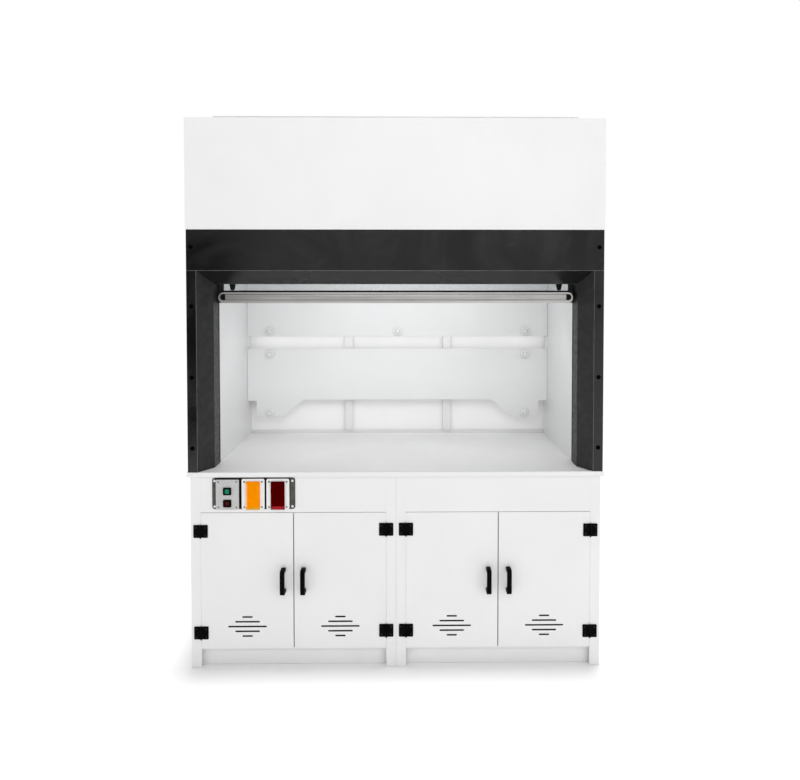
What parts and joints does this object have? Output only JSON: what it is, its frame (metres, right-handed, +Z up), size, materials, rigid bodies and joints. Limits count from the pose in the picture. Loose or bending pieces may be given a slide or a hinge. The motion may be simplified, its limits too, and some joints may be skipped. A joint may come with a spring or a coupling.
{
  "type": "laboratory fume hood",
  "caption": "Walk-up laboratory fume hood with a bevelled dark front frame, a counterweighted vertical sash, a baffled chamber and hinged-door base cabinets.",
  "frame": {"origin": "on the floor, under the middle of the whole hood", "axes": "+X to the right of a person facing the hood, +Y to its back, +Z up; the sash opening faces -Y"},
  "size_m": [1.8, 0.876, 2.44],
  "materials": {
    "white_polypropylene": "satin welded sheet",
    "chamber_lining": "satin sheet with a soft gloss",
    "grey_polypropylene": "satin",
    "dark_frame": "satin dark grey coating",
    "black_hardware": "moulded, fine grain",
    "black_plastic": "moulded, fine grain",
    "black_rubber": "matt",
    "brushed_aluminium": "brushed along its length",
    "bright_steel": "machined",
    "bearing_plastic": "moulded",
    "cast_weight": "painted casting",
    "sash_glass": "clear toughened sheet",
    "lamp_white": "satin",
    "panel_dark_grey": "fine grain moulded",
    "panel_light_grey": "fine grain moulded",
    "socket_white": "moulded",
    "button_green": "moulded",
    "button_red": "moulded",
    "cover_orange": "moulded",
    "cover_dark_red": "moulded"
  },
  "bodies": {
    "hood": {"cabinet_sides": "white_polypropylene", "cabinet_floors_and_backs": "white_polypropylene", "cabinet_stiles": "white_polypropylene", "cabinet_fascias": "white_polypropylene", "toe_kicks": "white_polypropylene", "door_catches": "grey_polypropylene", "worktop": "white_polypropylene", "side_panels": "white_polypropylene", "back_panel": "white_polypropylene", "side_liners": "chamber_lining", "chamber_roof": "chamber_lining", "sash_lintel": "chamber_lining", "upper_baffle": "chamber_lining", "lower_baffle": "chamber_lining", "baffle_standoffs": "grey_polypropylene", "baffle_caps": "chamber_lining", "back_battens": "grey_polypropylene", "exhaust_collar": "white_polypropylene", "header_panel": "white_polypropylene", "frame_top": "dark_frame", "frame_jambs": "dark_frame", "frame_screws": "black_hardware", "sash_guides": "dark_frame", "sash_bumpers": "black_rubber", "pulley_bearings": "bearing_plastic", "cable_top_runs": "bright_steel", "hinge_leaves_fixed": "black_hardware", "hinge_pins": "black_hardware", "control_backplate": "panel_dark_grey", "button_plate": "panel_light_grey", "socket_frames": "socket_white", "socket_inserts": "socket_white", "wiring_box": "grey_polypropylene", "lamp_housing": "lamp_white", "cable_front_drops": "bright_steel", "cable_rear_drops": "bright_steel"},
    "sash": {"sash_glass": "sash_glass", "sash_stiles": "dark_frame", "handle_rail": "brushed_aluminium", "handle_bar": "brushed_aluminium", "lift_brackets": "bright_steel"},
    "counterweights": {"counterweights": "cast_weight"},
    "front_shaft": {"front_shaft": "bright_steel"},
    "rear_shaft": {"rear_shaft": "bright_steel"},
    "green_button": {"green_button": "button_green"},
    "red_button": {"red_button": "button_red"},
    "orange_cover": {"orange_cover": "cover_orange"},
    "red_cover": {"red_cover": "cover_dark_red"},
    "door_1": {"door_1": "white_polypropylene", "door_pull_1": "black_plastic", "door_leaves_1": "black_hardware"},
    "door_2": {"door_2": "white_polypropylene", "door_pull_2": "black_plastic", "door_leaves_2": "black_hardware"},
    "door_3": {"door_3": "white_polypropylene", "door_pull_3": "black_plastic", "door_leaves_3": "black_hardware"},
    "door_4": {"door_4": "white_polypropylene", "door_pull_4": "black_plastic", "door_leaves_4": "black_hardware"}
  },
  "joints": [
    {"name": "sash_slide", "type": "slide", "parent": "hood", "child": "sash", "axis": [0, 0, 1], "range_m": [-0.724, 0], "deforming": ["cable_front_drops"]},
    {"name": "counterweight_slide", "type": "slide", "parent": "hood", "child": "counterweights", "axis": [0, 0, 1], "range_m": [0, 0.724], "deforming": ["cable_rear_drops"]},
    {"name": "front_shaft_spin", "type": "hinge", "parent": "hood", "child": "front_shaft", "pos_m": [0, -0.202, 2.3], "axis": [1, 0, 0], "range_deg": [0, 1188]},
    {"name": "rear_shaft_spin", "type": "hinge", "parent": "hood", "child": "rear_shaft", "pos_m": [0, 0.303, 2.3], "axis": [1, 0, 0], "range_deg": [0, 1188]},
    {"name": "door_1_hinge", "type": "hinge", "parent": "hood", "child": "door_1", "pos_m": [-0.847, -0.397, 0.38], "axis": [0, 0, -1], "range_deg": [0, 110]},
    {"name": "door_2_hinge", "type": "hinge", "parent": "hood", "child": "door_2", "pos_m": [-0.043, -0.397, 0.38], "axis": [0, 0, 1], "range_deg": [0, 88]},
    {"name": "door_3_hinge", "type": "hinge", "parent": "hood", "child": "door_3", "pos_m": [0.043, -0.397, 0.38], "axis": [0, 0, -1], "range_deg": [0, 88]},
    {"name": "door_4_hinge", "type": "hinge", "parent": "hood", "child": "door_4", "pos_m": [0.847, -0.397, 0.38], "axis": [0, 0, 1], "range_deg": [0, 110]},
    {"name": "green_button_press", "type": "slide", "parent": "hood", "child": "green_button", "axis": [0, 1, 0], "range_m": [0, 0.003], "stiffness_N_per_m": 400},
    {"name": "red_button_press", "type": "slide", "parent": "hood", "child": "red_button", "axis": [0, 1, 0], "range_m": [0, 0.003], "stiffness_N_per_m": 400},
    {"name": "orange_cover_hinge", "type": "hinge", "parent": "hood", "child": "orange_cover", "pos_m": [-0.618, -0.4028, 0.8145], "axis": [-1, 0, 0], "range_deg": [0, 100]},
    {"name": "red_cover_hinge", "type": "hinge", "parent": "hood", "child": "red_cover", "pos_m": [-0.511, -0.4028, 0.8145], "axis": [-1, 0, 0], "range_deg": [0, 100]}
  ],
  "couplings": [
    {"joint": "counterweight_slide", "follows": "sash_slide", "ratio": -1},
    {"joint": "front_shaft_spin", "follows": "sash_slide", "rad_per_m": -28.571},
    {"joint": "rear_shaft_spin", "follows": "sash_slide", "rad_per_m": -28.571}
  ]
}
